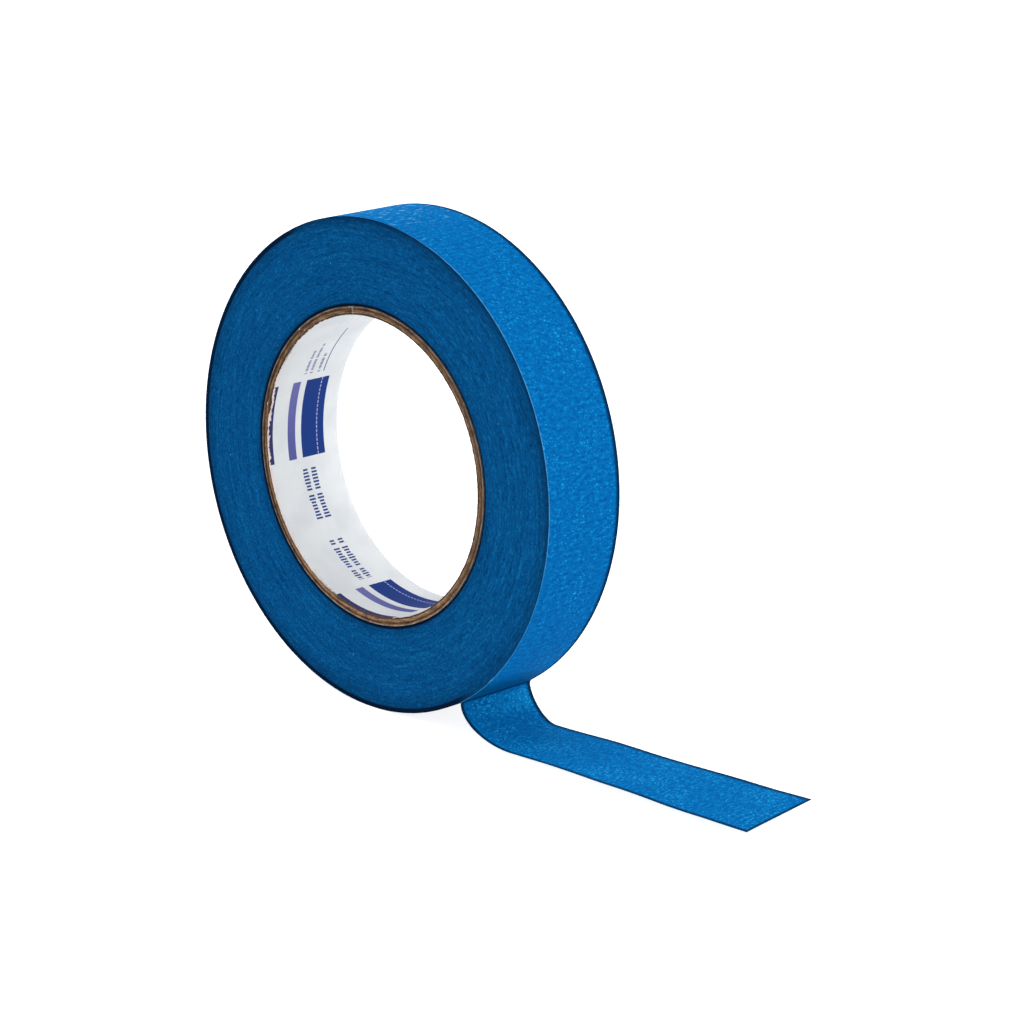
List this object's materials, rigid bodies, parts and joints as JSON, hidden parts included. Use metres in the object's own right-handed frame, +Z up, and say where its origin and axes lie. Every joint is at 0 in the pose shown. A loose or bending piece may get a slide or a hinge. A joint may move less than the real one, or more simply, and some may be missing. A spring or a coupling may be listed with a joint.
{
  "type": "masking tape roll",
  "caption": "Roll of blue crepe masking tape wound on a spiral paperboard core, standing on its rim with its free end peeled off and laid flat.",
  "frame": {"origin": "middle of the lowest line of the rim, where the roll stands on a surface", "axes": "+X along the lead, the free end of the tape; +Y along the roll's axis, away from the front slit face; +Z up"},
  "size_m": [0.1887, 0.024, 0.1246],
  "materials": {
    "tape": "matte",
    "tape_edge": "matte",
    "core_board": "matte",
    "liner_paper": "matte"
  },
  "bodies": {
    "web": {"outer_turn": "tape"},
    "reel": {"tape_pack": "tape_edge", "core_liner": "liner_paper", "core_ply_inner": "core_board", "core_ply_middle": "core_board", "core_ply_outer": "core_board"},
    "curl": {"lead_curl": "tape"},
    "strip_1": {"lead_1": "tape"},
    "strip_2": {"lead_2": "tape"},
    "strip_3": {"lead_3": "tape"}
  },
  "joints": [
    {"name": "roll_spin", "type": "hinge", "parent": "web", "child": "reel", "pos_m": [0, 0, 0.06232], "axis": [0, 1, 0], "continuous": true},
    {"name": "lead_peel", "type": "hinge", "parent": "web", "child": "curl", "pos_m": [0.03289, 0, 0.00942], "axis": [0, -1, 0], "range_deg": [-40, 30]},
    {"name": "lead_flex_1", "type": "hinge", "parent": "curl", "child": "strip_1", "pos_m": [0.04868, 0, 0.00052], "axis": [0.0467, -0.9986, 0.0236], "range_deg": [-20, 20]},
    {"name": "lead_flex_2", "type": "hinge", "parent": "strip_1", "child": "strip_2", "pos_m": [0.07466, 0, 0.00123], "axis": [0.0471, -0.9989, 0.0059], "range_deg": [-20, 20]},
    {"name": "lead_flex_3", "type": "hinge", "parent": "strip_2", "child": "strip_3", "pos_m": [0.10065, 0, 0.0019], "axis": [0.0478, -0.9986, -0.0227], "range_deg": [-20, 20]}
  ]
}
